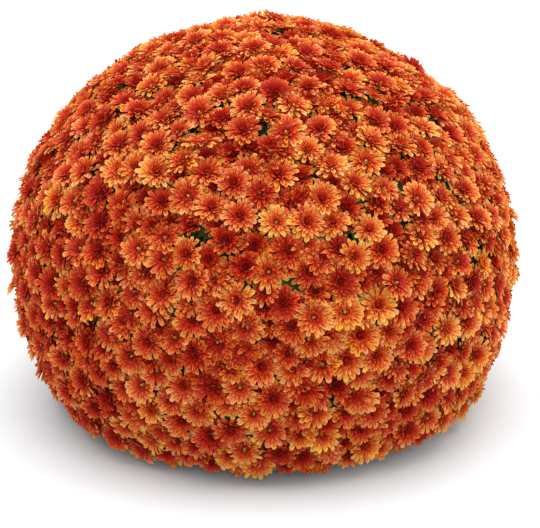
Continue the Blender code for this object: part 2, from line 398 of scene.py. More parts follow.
# %% Triangles between the points of a grid
def grid_stack(grid, places, closed=False, pointed=False):
    """(points, triangles, sheet places) of a stack of grids.

    A closed grid is a tube. A pointed grid begins in one point, not in a row.
    """
    count, rows, columns = grid.shape[:3]
    points, places = grid.reshape(count, -1, 3), places.reshape(count, -1, 2)
    number = np.arange(rows * columns).reshape(rows, columns)
    if pointed:
        middle = columns // 2
        keep = np.r_[middle, columns : rows * columns]
        points, places = points[:, keep], places[:, keep]
        number = np.maximum(number - columns + 1, 0)
    if closed:
        number = np.concatenate([number, number[:, :1]], axis=1)
    a, b, c, d = number[:-1, :-1], number[:-1, 1:], number[1:, 1:], number[1:, :-1]
    one = np.concatenate([np.stack([a, b, c], axis=-1), np.stack([a, c, d], axis=-1)]).reshape(-1, 3)
    one = one[(one[:, 0] != one[:, 1]) & (one[:, 1] != one[:, 2]) & (one[:, 2] != one[:, 0])]
    triangles = one[None] + points.shape[1] * np.arange(count)[:, None, None]
    return points.reshape(-1, 3), triangles.reshape(-1, 3), places.reshape(-1, 2)


# %% [markdown]
# A second helper joins several stacks into one mesh. It fills the mesh's lists of
# points, corners and faces directly, which is the fast way for many thousand
# triangles. Each point also gets a place on a square sheet of colour, which is how
# thousands of petals can share one drawn finish. A third helper puts the mesh in the
# scene and says which solids it stands for.

# %% Meshes and pieces
ABOVE_FLOOR = 0.0006
SHEET = "OFBake"
made_triangles = {}


def mesh_from(name, stacks, finish):
    """One smooth mesh from several stacks, kept above the floor."""
    points = np.concatenate([stack[0] for stack in stacks])
    starts = np.cumsum([0] + [len(stack[0]) for stack in stacks[:-1]])
    triangles = np.concatenate([stack[1] + start for stack, start in zip(stacks, starts)])
    places = np.concatenate([stack[2] for stack in stacks])
    points[:, 2] = np.maximum(points[:, 2], ABOVE_FLOOR)
    mesh = bpy.data.meshes.new(name)
    mesh.vertices.add(len(points))
    mesh.vertices.foreach_set("co", points.ravel())
    mesh.loops.add(triangles.size)
    mesh.loops.foreach_set("vertex_index", triangles.ravel())
    mesh.polygons.add(len(triangles))
    mesh.polygons.foreach_set("loop_start", np.arange(0, triangles.size, 3))
    mesh.polygons.foreach_set("loop_total", np.full(len(triangles), 3))
    mesh.polygons.foreach_set("use_smooth", np.ones(len(triangles), bool))
    mesh.uv_layers.new(name=SHEET).data.foreach_set("uv", places[triangles.ravel()].ravel())
    mesh.materials.append(finish)
    mesh.update()
    return mesh


def add_piece(name, mesh, slot, *solids):
    """Puts a mesh in the scene, in place of the named solids if there are any."""
    piece = bpy.data.objects.new(name, mesh)
    bpy.context.scene.collection.objects.link(piece)
    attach(piece, "root")
    if solids:
        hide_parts(*solids)
    made_triangles[name] = len(mesh.polygons)


def total(ending=""):
    """Triangles in all the pieces whose names end like this."""
    return sum(count for name, count in made_triangles.items() if name.endswith(ending))


# %% [markdown]
# Two more helpers serve all the grids. One finds two directions square to an axis, to
# build a flower or a tube around it. The other works out places on a sheet that is cut
# into equal tiles, and keeps them clear of the tiles' edges.

# %% Directions around an axis and places on a sheet
UPRIGHT = 0.9
TILE_EDGE = 0.06


def guides(directions, upright):
    """A helper direction for each: up, or sideways where the direction is itself upright."""
    return np.where(np.abs(directions[..., 2:]) < upright, [0.0, 0.0, 1.0], [1.0, 0.0, 0.0])


def across_frames(axes, guide=None):
    """Two directions square to each axis and to each other."""
    if guide is None:
        guide = guides(axes, UPRIGHT)
    first = unit(np.cross(guide, axes))
    return first, np.cross(axes, first)


def tile_places(tiles, row, column, across, up):
    """Places on a sheet of equal tiles, from tile numbers and places inside the tile."""
    inside = 1 - 2 * TILE_EDGE
    u = (column + TILE_EDGE + inside * across) / tiles
    v = (row + TILE_EDGE + inside * np.clip(up, 0, 1)) / tiles
    return np.stack(np.broadcast_arrays(u, v), axis=-1)


# %% [markdown]
# A petal is a narrow sheet. It is thin at its foot, widest near its rounded end, and
# channelled along its middle, like a spoon. It could be a curve with a bevel, but the
# channel and the round end come out better from a small grid, three points wide. Its
# middle line leaves the heart of the flower at one angle and arrives at another, and
# the grid is swept along that line. Inner petals are small and mostly hidden, so they
# get fewer rows than outer ones.

# %% One petal, many times over
PETAL_SHAPES = {
    # (share of the length, share of the half width) for each row
    "outer": ((0.0, 0.0), (0.30, 0.56), (0.62, 0.92), (0.83, 1.0), (0.95, 0.80), (1.0, 0.40)),
    "middle": ((0.0, 0.0), (0.42, 0.76), (0.80, 1.0), (1.0, 0.60)),
    "inner": ((0.0, 0.0), (0.60, 1.0), (1.0, 0.60)),
}
BEND_LATE = 1.25
ROUND_END = 0.050


def running_sum(steps):
    """Sums that begin at 0 and take in one more step each time."""
    return np.concatenate([np.zeros((len(steps), 1)), np.cumsum(steps, axis=1)], axis=1)


def petal_grids(shape, p):
    """Points of the petals' grids, and how far each row lies from the flower's middle.

    p holds one value for each petal: the foot and axis of its flower, the flower's
    radius, the petal's direction around the axis, where it starts, its length and half
    width, its first and last angle above the flower's face, its roll, the depth of its
    channel and its notch.
    """
    along, width = np.array(PETAL_SHAPES[shape]).T
    bend = (p["last"] - p["first"])[:, None]
    slope = p["first"][:, None] + bend * ((along[1:] + along[:-1]) / 2) ** BEND_LATE
    turn = p["first"][:, None] + bend * along**BEND_LATE
    step = p["length"][:, None] * np.diff(along)
    out = p["start"][:, None] + running_sum(step * np.cos(slope))
    up = p["height"][:, None] + running_sum(step * np.sin(slope))

    first, second = across_frames(p["axis"])
    cos, sin = np.cos(p["around"])[:, None], np.sin(p["around"])[:, None]
    radial = (cos * first + sin * second)[:, None]
    sideways = (cos * second - sin * first)[:, None]
    axis = p["axis"][:, None]
    tangent = np.cos(turn)[..., None] * radial + np.sin(turn)[..., None] * axis
    face = np.cos(turn)[..., None] * axis - np.sin(turn)[..., None] * radial
    roll = (p["roll"][:, None] * along)[..., None]
    side = np.cos(roll) * sideways + np.sin(roll) * face
    line = p["foot"][:, None] + out[..., None] * radial + up[..., None] * axis
    half = (p["half_width"][:, None] * width)[..., None]
    at_end = (along == 1)[None, :, None]
    grid = np.empty((*line.shape[:2], 3, 3))
    for column, across in enumerate((-1, 0, 1)):
        back = ROUND_END * across**2 + p["notch"][:, None, None] * (1 - across**2)
        lift = p["channel"][:, None, None] * half * across**2
        grid[:, :, column] = line + across * half * side + lift * face
        grid[:, :, column] -= back * at_end * p["length"][:, None, None] * tangent
    return grid, out / p["size"][:, None], along


# %% [markdown]
# The colours of all petals sit on one square sheet, cut into eight by eight tiles. A
# row of tiles is a stage of ripening, from the dark red of a head that has just
# opened to the gold of an old one. The tiles of a row differ slightly, as neighbours
# do. The top row is kept for the yellow florets in a flower's eye. Each petal is laid
# over one tile: across the tile is across the petal, and up the tile is away from the
# middle of the flower. Two short functions read this sheet back inside a material:
# one finds the tile and the place inside it, and the other draws streaks that run
# lengthways and differ from tile to tile.

# %% Reading a sheet of tiles in a material
FAR_APART = 40.0


def tile_inputs(tree, tiles):
    """The tile row of a place on the sheet, the tile's own number and the place in it."""
    sheet = add_node(tree, "ShaderNodeUVMap", uv_map=SHEET).outputs["UV"]
    scaled = vector_maths(tree, "MULTIPLY", sheet, (tiles, tiles, 1))
    tile = vector_maths(tree, "FLOOR", scaled)
    inside = vector_maths(tree, "FRACTION", scaled)
    own = add_node(tree, "ShaderNodeTexWhiteNoise", {"Vector": tile}, noise_dimensions="3D")
    row = add_node(tree, "ShaderNodeSeparateXYZ", {0: tile}).outputs["Y"]
    local = add_node(tree, "ShaderNodeSeparateXYZ", {0: inside}).outputs
    return row, own.outputs["Value"], local["X"], local["Y"]


def long_streaks(tree, across, up, own, fine, coarse):
    """Noise drawn out lengthways, different in each tile."""
    place = add_node(tree, "ShaderNodeCombineXYZ", {
        "X": maths(tree, "MULTIPLY", across, fine),
        "Y": maths(tree, "MULTIPLY", up, coarse),
        "Z": maths(tree, "MULTIPLY", own, FAR_APART),
    }).outputs[0]
    return soft_noise(tree, place, 1.0, 4.0, 0.62)


# %% [markdown]
# Every finish ends the same way: colour, roughness and bump are linked to the shader.
# Petals also let light through, which takes a second shader behind the first.

# %% Linking a finish to its shader
def finish_surface(tree, shader, colour, roughness, height, bump):
    """Links colour, roughness and bump to the shader. bump is (strength, distance)."""
    feed(tree, shader.inputs["Base Color"], colour)
    feed(tree, shader.inputs["Roughness"], roughness)
    settings = {"Strength": bump[0], "Distance": bump[1], "Height": height}
    feed(tree, shader.inputs["Normal"], add_node(tree, "ShaderNodeBump", settings).outputs["Normal"])


def let_light_through(tree, shader, colour, share):
    """Mixes in a share of light that comes through the thin surface from behind."""
    behind = add_node(tree, "ShaderNodeBsdfTranslucent")
    feed(tree, behind.inputs["Color"], colour)
    both = add_node(tree, "ShaderNodeMixShader", {0: share, 1: shader.outputs[0], 2: behind.outputs[0]})
    output = next(node for node in tree.nodes if node.type == "OUTPUT_MATERIAL")
    feed(tree, output.inputs["Surface"], both.outputs[0])


# %% [markdown]
# A flower of this kind is crimson at its heart, orange-red halfway out and golden at
# its rim, and that scale moves outward as the flower is younger. So the material asks
# how far a point is from the middle of its flower, adds the shift of its tile row and
# looks the sum up in one ramp. Fine streaks run along each petal. Its margins are
# painted paler than its middle: partly the paler reverse that shows where a petal
# curls, partly a painted highlight along the raised edges of its channel.

# %% How ripe a petal is at each point
PETAL_TILES = 8
EYE_ROW = PETAL_TILES - 1
MIDDLE_ROW = 3.2
ROW_SHIFT = 0.085
TILE_SHIFT = 0.10
STREAK_SHIFT = 0.30
MARGIN_PALE_AND_HIGHLIGHT = 0.44
MARGIN_NARROW = 2.5
BODY_SHIFT = 0.11


def off_middle(tree, across):
    """0 along the middle of a petal or leaf and 1 at its margins."""
    return maths(tree, "ABSOLUTE", maths(tree, "MULTIPLY_ADD", across, 2.0, -1.0))


def ripeness(tree, row, own, across, up, streaks):
    """0 in a young crimson heart and 1 at an old golden rim."""
    # Paler reverse and painted highlight: the margins are shifted towards gold.
    pale_margin_and_highlight = maths(tree, "POWER", off_middle(tree, across), MARGIN_NARROW)
    ripe = maths(tree, "MULTIPLY_ADD", maths(tree, "SUBTRACT", row, MIDDLE_ROW), ROW_SHIFT, up)
    ripe = maths(tree, "ADD", ripe, from_half(tree, own, TILE_SHIFT))
    ripe = maths(tree, "ADD", ripe, from_half(tree, streaks, STREAK_SHIFT))
    return maths(tree, "MULTIPLY_ADD", pale_margin_and_highlight, MARGIN_PALE_AND_HIGHLIGHT, maths(tree, "SUBTRACT", ripe, BODY_SHIFT))


# %% [markdown]
# The ramp gives the colour, and a tint of the tile's own makes some petals more golden
# and some more rosy. The tile's chance number runs through the tints several times, so
# that ripe petals aren't all tinted alike. The streaks also drive the bump and the
# gloss. A petal is thin, so part of the light that falls on its back comes out in
# front: that share is a Translucent shader mixed in, and it makes the shaded hearts
# glow red instead of black.

# %% Petal finish
PETAL_THROUGH = 0.40
PETAL_STREAKS = (10.0, 2.2)
PETAL_BUMP = (0.35, 0.0006)
TINT_TURNS = 7.0
PETAL_SCALE = [
    (0.00, paint(0.62, 0.065, 0.02)),
    (0.22, paint(0.69, 0.11, 0.04)),
    (0.41, paint(0.77, 0.21, 0.07)),
    (0.55, paint(0.83, 0.34, 0.12)),
    (0.67, paint(0.88, 0.475, 0.19)),
    (0.80, paint(0.92, 0.615, 0.28)),
    (1.00, paint(0.94, 0.735, 0.40)),
]
PETAL_TINTS = [
    (0.0, (1.0, 1.06, 0.40, 1.0)),
    (0.5, (1.0, 1.00, 0.95, 1.0)),
    (1.0, (1.0, 0.95, 1.60, 1.0)),
]
EYE_TONES = [
    (0.35, paint(0.66, 0.48, 0.10)),
    (0.65, paint(0.97, 0.84, 0.42)),
]


def petal_nodes():
    """Streaked petals from crimson to gold, with the florets of the eye in the top row."""
    made, tree, shader = new_material("petal")
    row, own, across, up = tile_inputs(tree, PETAL_TILES)
    streaks = long_streaks(tree, across, up, own, *PETAL_STREAKS)
    colour = ramp(tree, ripeness(tree, row, own, across, up, streaks), PETAL_SCALE)
    shade = grey(tree, spread_over(tree, streaks, 0.80, 1.20))
    colour = blend_colours(tree, "MULTIPLY", 1.0, colour, shade)
    tint = ramp(tree, maths(tree, "FRACT", maths(tree, "MULTIPLY", own, TINT_TURNS)), PETAL_TINTS)
    colour = blend_colours(tree, "MULTIPLY", 1.0, colour, tint)
    eye = ramp(tree, streaks, EYE_TONES)
    is_eye = maths(tree, "GREATER_THAN", row, EYE_ROW - 0.5)
    colour = blend_colours(tree, "MIX", is_eye, colour, eye)
    roughness = spread_over(tree, streaks, 0.38, 0.68)
    finish_surface(tree, shader, colour, roughness, streaks, PETAL_BUMP)
    shader.inputs["Specular IOR Level"].default_value = 0.18
    shader.inputs["Sheen Weight"].default_value = 0.03
    let_light_through(tree, shader, colour, PETAL_THROUGH)
    return made


petal_finish = petal_nodes()
print("nodes in the petal finish:", len(petal_finish.node_tree.nodes))

# %% [markdown]
# Flower heads open at different times, so the dome shows several ages side by side:
# open heads with a small yellow eye, full double heads whose inner petals still curl
# over the middle, smaller double heads that opened late between them, and half-open
# ones that are dark red. Each age is a table of petal rings, from the outside in. A
# ring says how many petals it has, their shape, their length and start as shares of
# the head's radius, how high it sits, its first and last angle above the flower's
# face, and the petals' half width.

# %% The ages of a flower head
AGES = {
    "open": (
        (15, "outer", 0.88, 0.13, 0.00, 19, 1, 0.122),
        (14, "middle", 0.78, 0.12, 0.03, 29, 12, 0.108),
        (13, "inner", 0.58, 0.11, 0.05, 42, 30, 0.080),
        (11, "inner", 0.40, 0.08, 0.05, 54, 50, 0.072),
    ),
    "double": (
        (15, "outer", 0.88, 0.13, 0.00, 20, 1, 0.122),
        (14, "middle", 0.80, 0.12, 0.03, 31, 14, 0.108),
        (14, "inner", 0.63, 0.11, 0.05, 43, 32, 0.084),
        (13, "inner", 0.49, 0.09, 0.07, 54, 50, 0.074),
        (9, "inner", 0.36, 0.05, 0.08, 68, 90, 0.078),
    ),
    "late": (
        (16, "middle", 0.89, 0.13, 0.00, 22, 6, 0.112),
        (15, "inner", 0.76, 0.12, 0.05, 35, 24, 0.094),
        (13, "inner", 0.56, 0.09, 0.08, 52, 50, 0.080),
        (9, "inner", 0.38, 0.05, 0.09, 70, 96, 0.080),
    ),
    "young": (
        (13, "middle", 0.92, 0.16, 0.00, 34, 18, 0.138),
        (11, "inner", 0.78, 0.14, 0.05, 50, 42, 0.130),
        (9, "inner", 0.61, 0.10, 0.08, 66, 78, 0.120),
        (6, "inner", 0.46, 0.05, 0.10, 76, 108, 0.114),
    ),
}
print("petals to a head:", {age: sum(ring[0] for ring in rings) for age, rings in AGES.items()})

# %% [markdown]
# Chance decides what a formula would make too even: which age a head has, how large
# it is and how deep it sits among its neighbours. Large heads stand on the peaks and
# are mostly open, and small ones fill the dips and are mostly young. A stage is the
# row of the colour sheet, as a middle value and how far chance moves it.

# %% Sizes and stages of the heads
STAGES = {"open": (3.8, 1.0), "double": (3.1, 1.4), "late": (1.8, 1.1), "young": (0.7, 0.8)}
LARGE_HEADS = {
    "ages": ("open", "double", "young"),
    "chances": (0.20, 0.64, 0.16),
    "radii": ((0.0163, 0.0192), (0.0160, 0.0196), (0.0138, 0.0165)),
    "depths": ((0.008, 0.012), (0.008, 0.0135), (0.011, 0.017)),
}
SMALL_HEADS = {
    "ages": ("late", "young"),
    "chances": (0.42, 0.58),
    "radii": ((0.0148, 0.0180), (0.0132, 0.0164)),
    "depths": ((0.003, 0.008), (0.004, 0.009)),
}

# %% [markdown]
# The whole outline swells and sinks by a few millimetres over a hand's width, because
# no plant grows as round as a ball. Three slow waves in different directions do that.

# %% Slow swells in the outline
SWELL = 0.0026
SWELL_WIDTH = 0.13
SWELL_WAYS = (((0.8, 0.5, 0.3), 0.4), ((-0.4, 0.7, 0.6), 2.1), ((0.3, -0.6, 0.9), 4.0))


def swell(points):
    """Slow waves in the outline, from -1 to 1."""
    waves = 0
    for way, turn in SWELL_WAYS:
        waves = waves + np.sin(points @ np.array(way) * 2 * math.pi / SWELL_WIDTH + turn)
    return waves / len(SWELL_WAYS)


# %% [markdown]
# Now each head gets its record. It leans by chance and turns a little towards the
# sky. The heads on the right side and on top are riper and more golden: a real spread
# of ages, placed there as painted light that makes that side of the dome brighter. The
# lowest heads rest on the ground: they are tucked in, lean less and are brought to one
# level, so that the dome stands on an even skirt.

# %% One record for each flower head
# The side and top whose heads are painted riper and lighter, as painted light.
RIPER_PAINTED_LIGHT_SIDE = np.array([0.9, 0.0, 0.6])
RIPENS_AS_PAINTED_LIGHT = 0.9
LEAN = 0.18
LIGHT_PULL = 0.27
SLIDE = 0.0028
TUCK = 0.005
LOW_HEADS = 0.060
LOW_STEADY = 0.7
REST_Z = 0.022


def head_records(places, ages, chances, radii, depths):
    """Places, directions, sizes and ages of these flower heads, one array for each."""
    count = len(places)
    out = outward(places)
    age = drawn.choice(len(ages), count, p=chances)
    low = np.clip(1 - places[:, 2:] / LOW_HEADS, 0, 1)
    lean = LEAN * (1 - LOW_STEADY * low) * drawn.normal(0, 1, (count, 3))
    axis = unit(out + lean + [0, 0, LIGHT_PULL])
    first, second = across_frames(out)
    slide = drawn.normal(0, SLIDE, (count, 2))
    radius = drawn.uniform(*np.array(radii)[age].T)
    depth = drawn.uniform(*np.array(depths)[age].T) - SWELL * swell(places)
    depth += TUCK * low[:, 0]
    foot = places - depth[:, None] * out + slide[:, :1] * first + slide[:, 1:] * second
    foot[:, 2:] += low * (REST_Z - foot[:, 2:])
    middle, spread = np.array([STAGES[name] for name in ages])[age].T
    # Painted light: heads facing the right side and the top get a riper, lighter stage.
    stage = middle + spread * drawn.normal(0, 1, count) + RIPENS_AS_PAINTED_LIGHT * out @ RIPER_PAINTED_LIGHT_SIDE
    return {"foot": foot, "axis": axis, "out": out, "radius": radius, "stage": stage,
            "age": np.array(ages)[age]}


def joined(first, second):
    """One set of records from two."""
    return {key: np.concatenate([first[key], second[key]]) for key in first}


heads_of = {}
for spray in sprays:
    large, small = places_of[spray]
    heads_of[spray] = joined(head_records(large, **LARGE_HEADS), head_records(small, **SMALL_HEADS))
print("records:", sum(len(heads["age"]) for heads in heads_of.values()))

# %% [markdown]
# With the records and the rings, the petals are a matter of repetition: every head
# repeats each ring of its age, turned by a chance angle, and every petal differs a
# little from its neighbours in length, width, slope and roll. Lengths and widths
# differ by a share, and angles by degrees or, for the roll, by radians.

# %% Petals of one ring
AROUND_DIFFERS = 0.14
LENGTH_DIFFERS = 0.07
WIDTH_DIFFERS = 0.08
FIRST_DIFFERS = 4
LAST_DIFFERS = 6.5
ROLL_DIFFERS = 0.28
CHANNEL = (0.42, 0.12)
NOTCH = (-0.05, 0.04)


def ring_petals(heads, mine, ring):
    """The petals that these heads have in one ring, and the number of each petal's head."""
    count, _, length, start, height, first, last, half_width = ring
    head = np.repeat(mine, count)
    size = heads["radius"][head]
    n = len(head)
    offset = np.repeat(drawn.uniform(0, 2 * math.pi, len(mine)), count)
    number = np.tile(np.arange(count), len(mine))
    petals = {
        "foot": heads["foot"][head],
        "axis": heads["axis"][head],
        "size": size,
        "around": offset + 2 * math.pi * (number + drawn.normal(0, AROUND_DIFFERS, n)) / count,
        "start": start * size,
        "height": height * size,
        "length": length * size * drawn.normal(1, LENGTH_DIFFERS, n),
        "first": np.radians(first + drawn.normal(0, FIRST_DIFFERS, n)),
        "last": np.radians(last + drawn.normal(0, LAST_DIFFERS, n)),
        "half_width": half_width * size * drawn.normal(1, WIDTH_DIFFERS, n),
        "roll": drawn.normal(0, ROLL_DIFFERS, n),
        "channel": np.abs(drawn.normal(*CHANNEL, n)),
        "notch": drawn.uniform(*NOTCH, n),
    }
    return petals, head


# %% [markdown]
# A petal's place on the colour sheet follows mostly from how far each of its points
# lies from the middle of the flower. The tips of the inner petals get a painted
# highlight: they are lightened a little more, which draws them as fine pale points
# against the dark heart. Most petals of a head share one column of the sheet, so that
# a whole flower is more golden or more rosy than the next.

# %% Petals for a set of flower heads
ACROSS = np.array([0.0, 0.5, 1.0])
BY_DISTANCE = 0.86
DISTANCE_POWER = 1.25
BY_LENGTH = 0.14
# How much each shape's tips are lightened as a painted highlight.
TIP_HIGHLIGHT = {"outer": 0.0, "middle": 0.04, "inner": 0.13}
ROW_DIFFERS = 0.5
ODD_PETALS = 0.35


def petals_of(heads):
    """Stacks of petal grids for these heads, one stack for each ring of each age."""
    stacks = []
    for age, rings in AGES.items():
        mine = np.flatnonzero(heads["age"] == age)
        own_column = drawn.integers(0, PETAL_TILES, len(mine))
        for ring in rings:
            count, shape = ring[:2]
            petals, head = ring_petals(heads, mine, ring)
            n = len(head)
            grid, reached, along = petal_grids(shape, petals)
            far = BY_DISTANCE * np.maximum(reached, 0) ** DISTANCE_POWER
            # The last term is a painted highlight on the petals' tips.
            up = far + BY_LENGTH * along**2 + TIP_HIGHLIGHT[shape] * along**4
            stage = heads["stage"][head] + drawn.normal(0, ROW_DIFFERS, n)
            row = np.clip(np.round(stage), 0, EYE_ROW - 1)
            column = (np.repeat(own_column, count) + (drawn.random(n) < ODD_PETALS)) % PETAL_TILES
            tile = (row[:, None, None], column[:, None, None])
            places = tile_places(PETAL_TILES, *tile, ACROSS, up[..., None])
            stacks.append(grid_stack(grid, places, pointed=True))
    return stacks


# %% [markdown]
# An open head shows its eye: a low cushion of yellow tube florets. In the double
# heads the same place holds the crimson tips of petals that are still folded. A small
# dome does for both, with its colour taken from another row of the sheet.

# %% Hearts of the flower heads
HEART_SIDES = 6
HEART_PROFILE = ((0.02, 1.00), (0.72, 0.72), (1.0, 0.0))
HEART_TOP_ROW = 2
HEART_UP = 0.25
HEART_SIZES = {
    # half width and height, as shares of the head's radius
    "open": (0.085, 0.25),
    "double": (0.13, 0.38),
    "late": (0.13, 0.40),
    "young": (0.15, 0.50),
}


def hearts_of(heads):
    """One stack with the low dome in the middle of each head."""
    age = heads["age"]
    wide, high = np.array([HEART_SIZES[name] for name in age]).T * heads["radius"]
    around = np.arange(HEART_SIDES) * 2 * math.pi / HEART_SIDES
    first, second = across_frames(heads["axis"])
    circle = np.cos(around)[:, None] * first[:, None] + np.sin(around)[:, None] * second[:, None]
    rings = [heads["foot"][:, None] + up * high[:, None, None] * heads["axis"][:, None]
             + out * wide[:, None, None] * circle for up, out in reversed(HEART_PROFILE)]
    row = np.where(age == "open", EYE_ROW, np.clip(np.round(heads["stage"] - 1), 0, HEART_TOP_ROW))
    column = drawn.integers(0, PETAL_TILES, len(age))
    across = np.abs(1 - 2 * np.arange(HEART_SIDES) / HEART_SIDES)
    up = np.linspace(HEART_UP, 0.0, len(HEART_PROFILE))[:, None]
    places = tile_places(PETAL_TILES, row[:, None, None], column[:, None, None], across, up)
    return grid_stack(np.stack(rings, axis=1)[:, :, ::-1], places, closed=True, pointed=True)


# %% [markdown]
# Each spray's petals and hearts become one piece, which stands for its cluster solid.
# One object for each flower would be truer to the plant, but nearly two thousand
# objects would be slow to work with, and a spray is how a gardener would cut them.

# %% Grow the flower heads
for spray in sprays:
    stacks = petals_of(heads_of[spray]) + [hearts_of(heads_of[spray])]
    mesh = mesh_from(f"{spray}_flower_heads", stacks, petal_finish)
    add_piece(mesh.name, mesh, "petals", f"{spray}_blooms")
print("triangles in flower heads:", total("flower_heads"))

# %% [markdown]
# The leaves fill the dome just under the flowers. A chrysanthemum leaf has two pairs
# of side lobes and a lobed end, and it folds slightly along its midrib. The same kind
# of grid as for a petal makes it, with margins that run in and out so that they draw
# the lobes.

# %% The shape of a leaf
LEAF_ROWS = (
    # along, half width, how far the margin is pushed towards the tip
    (0.00, 0.012, 0.00),
    (0.17, 0.020, 0.00),
    (0.27, 0.300, 0.06),
    (0.41, 0.120, 0.00),
    (0.54, 0.370, 0.08),
    (0.69, 0.150, 0.00),
    (0.80, 0.250, 0.06),
    (0.90, 0.130, 0.02),
    (1.00, 0.020, 0.00),
)


def leaf_grids(p):
    """Points of the leaves' grids. p holds foot, direction, face, length, fold and droop."""
    along, width, push = np.array(LEAF_ROWS).T
    side = np.cross(p["direction"], p["face"])[:, None]
    droop = p["droop"][:, None] * along
    step = p["length"][:, None] * np.diff(along)
    forward = running_sum(step * np.cos(droop[:, 1:]))
    down = running_sum(step * np.sin(droop[:, 1:]))
    direction, face = p["direction"][:, None], p["face"][:, None]
    line = p["foot"][:, None] + forward[..., None] * direction - down[..., None] * face
    half = (p["length"][:, None] * width)[..., None]
    lift = np.sin(p["fold"])[:, None, None] * half
    ahead = (p["length"][:, None] * push)[..., None] * direction
    wide = np.cos(p["fold"])[:, None, None] * half * side
    raised = lift * face
    return np.stack([line - wide + raised + ahead, line, line + wide + raised + ahead], axis=2)


# %% [markdown]
# Leaves get a sheet of their own, four by four tiles, with rows from the dark green
# of old leaves to the fresher green of young ones. The midrib and the side veins
# follow from the place inside the tile: the side veins are slanted stripes that meet
# the midrib and end in the lobes.

# %% Leaf finish
LEAF_TILES = 4
LEAF_MOTTLE = (5.0, 5.0)
LEAF_BUMP = (0.5, 0.0010)
VEIN_SPACING = 0.265
VEIN_SLANT = 0.16
SIDE_VEIN_THIN = 14.0
MIDRIB_THIN = 18.0
VEIN_LIGHT = 0.22
VEIN_DEPTH = -0.6
OLDEST_TONE = 0.05
ROW_TONE = 0.17
OWN_TONE = 0.16
MOTTLE_TONE = 0.5
LEAF_TONES = [
    (0.00, paint(0.21, 0.28, 0.11)),
    (0.40, paint(0.30, 0.40, 0.15)),
    (0.75, paint(0.40, 0.52, 0.19)),
    (1.00, paint(0.52, 0.62, 0.26)),
]


def leaf_nodes():
    """Mottled green with paler veins."""
    made, tree, shader = new_material("leaf")
    row, own, across, up = tile_inputs(tree, LEAF_TILES)
    mottle = long_streaks(tree, across, up, own, *LEAF_MOTTLE)
    from_middle = off_middle(tree, across)
    slanted = maths(tree, "MULTIPLY_ADD", from_middle, -VEIN_SLANT, up)
    phase = maths(tree, "FRACT", maths(tree, "DIVIDE", slanted, VEIN_SPACING))
    side_vein = maths(tree, "ABSOLUTE", maths(tree, "MULTIPLY_ADD", phase, 2.0, -1.0))
    side_vein = maths(tree, "POWER", side_vein, SIDE_VEIN_THIN)
    midrib = maths(tree, "POWER", maths(tree, "SUBTRACT", 1.0, from_middle), MIDRIB_THIN)
    veins = maths(tree, "MAXIMUM", side_vein, midrib)
    tone = maths(tree, "MULTIPLY_ADD", row, ROW_TONE, OLDEST_TONE)
    tone = maths(tree, "ADD", tone, from_half(tree, own, OWN_TONE))
    tone = maths(tree, "ADD", tone, from_half(tree, mottle, MOTTLE_TONE))
    tone = maths(tree, "MULTIPLY_ADD", veins, VEIN_LIGHT, tone)
    roughness = spread_over(tree, mottle, 0.52, 0.82)
    height = maths(tree, "MULTIPLY_ADD", veins, VEIN_DEPTH, mottle)
    finish_surface(tree, shader, ramp(tree, tone, LEAF_TONES), roughness, height, LEAF_BUMP)
    shader.inputs["Specular IOR Level"].default_value = 0.2
    return made


leaf_finish = leaf_nodes()
print("nodes in the leaf finish:", len(leaf_finish.node_tree.nodes))

# %% [markdown]
# Four layers of leaves are needed: small ones right under the heads, and larger, older
# ones farther in, which keep the inside of the dome dark. Each leaf lies roughly along
# the dome and points in a chance direction. The odd one that would lie across a
# flower is pulled back among the stalks.

# %% Leaves for one spray
LEAF_LAYERS = (
    # share of the heads, depth range, length range
    (1.00, (0.0185, 0.027), (0.031, 0.043)),
    (0.32, (0.034, 0.052), (0.044, 0.064)),
    (0.22, (0.056, 0.078), (0.064, 0.084)),
    (0.13, (0.085, 0.120), (0.075, 0.090)),
)
LEAF_TURN = 0.08
LEAF_TILT = 0.16
LEAF_RISE = 0.07
LEAF_BEHIND = 0.55
LEAF_SCATTER = 0.004
LEAF_FOLDS = (0.1, 0.5)
LEAF_DROOPS = (-0.1, 0.8)
LEAF_LEVEL = 0.932
DOME_MIDDLE = np.array([0.0, 0.0, WIDEST_Z])


def kept_inside(grid):
    """Pulls the points that come too near the outline back among the stalks."""
    level = level_of(grid.reshape(-1, 3)).reshape(grid.shape[:-1])
    share = np.minimum(1, LEAF_LEVEL / level)[..., None]
    return DOME_MIDDLE + share * (grid - DOME_MIDDLE)


def leaves_of(places):
    """A stack of leaf grids around these places on the dome."""
    stacks = []
    for share, depths, lengths in LEAF_LAYERS:
        chosen = drawn.permutation(len(places))[: round(share * len(places))]
        spot = places[chosen]
        n = len(spot)
        out = outward(spot)
        first, second = across_frames(out)
        around = drawn.uniform(0, 2 * math.pi, n)[:, None]
        direction = np.cos(around) * first + np.sin(around) * second
        direction = unit(direction + LEAF_RISE * out + drawn.normal(0, LEAF_TURN, (n, 3)))
        face = out + drawn.normal(0, LEAF_TILT, (n, 3))
        face = unit(face - (face * direction).sum(axis=1, keepdims=True) * direction)
        length = drawn.uniform(*lengths, n)
        depth = drawn.uniform(*depths, n)
        foot = spot - depth[:, None] * out - LEAF_BEHIND * length[:, None] * direction
        foot += drawn.normal(0, LEAF_SCATTER, (n, 3))
        leaf = {"foot": foot, "direction": direction, "face": face, "length": length,
                "fold": drawn.uniform(*LEAF_FOLDS, n), "droop": drawn.uniform(*LEAF_DROOPS, n)}
        grid = kept_inside(leaf_grids(leaf))
        row, column = drawn.integers(0, LEAF_TILES, (2, n))[:, :, None, None]
        up = np.array(LEAF_ROWS)[:, :1]
        stacks.append(grid_stack(grid, tile_places(LEAF_TILES, row, column, ACROSS, up)))
    return stacks


# %% [markdown]
# A spray's leaves follow all of its flower heads, large and small. They become one
# piece, which stands for the toothed plate around the spray's stem.

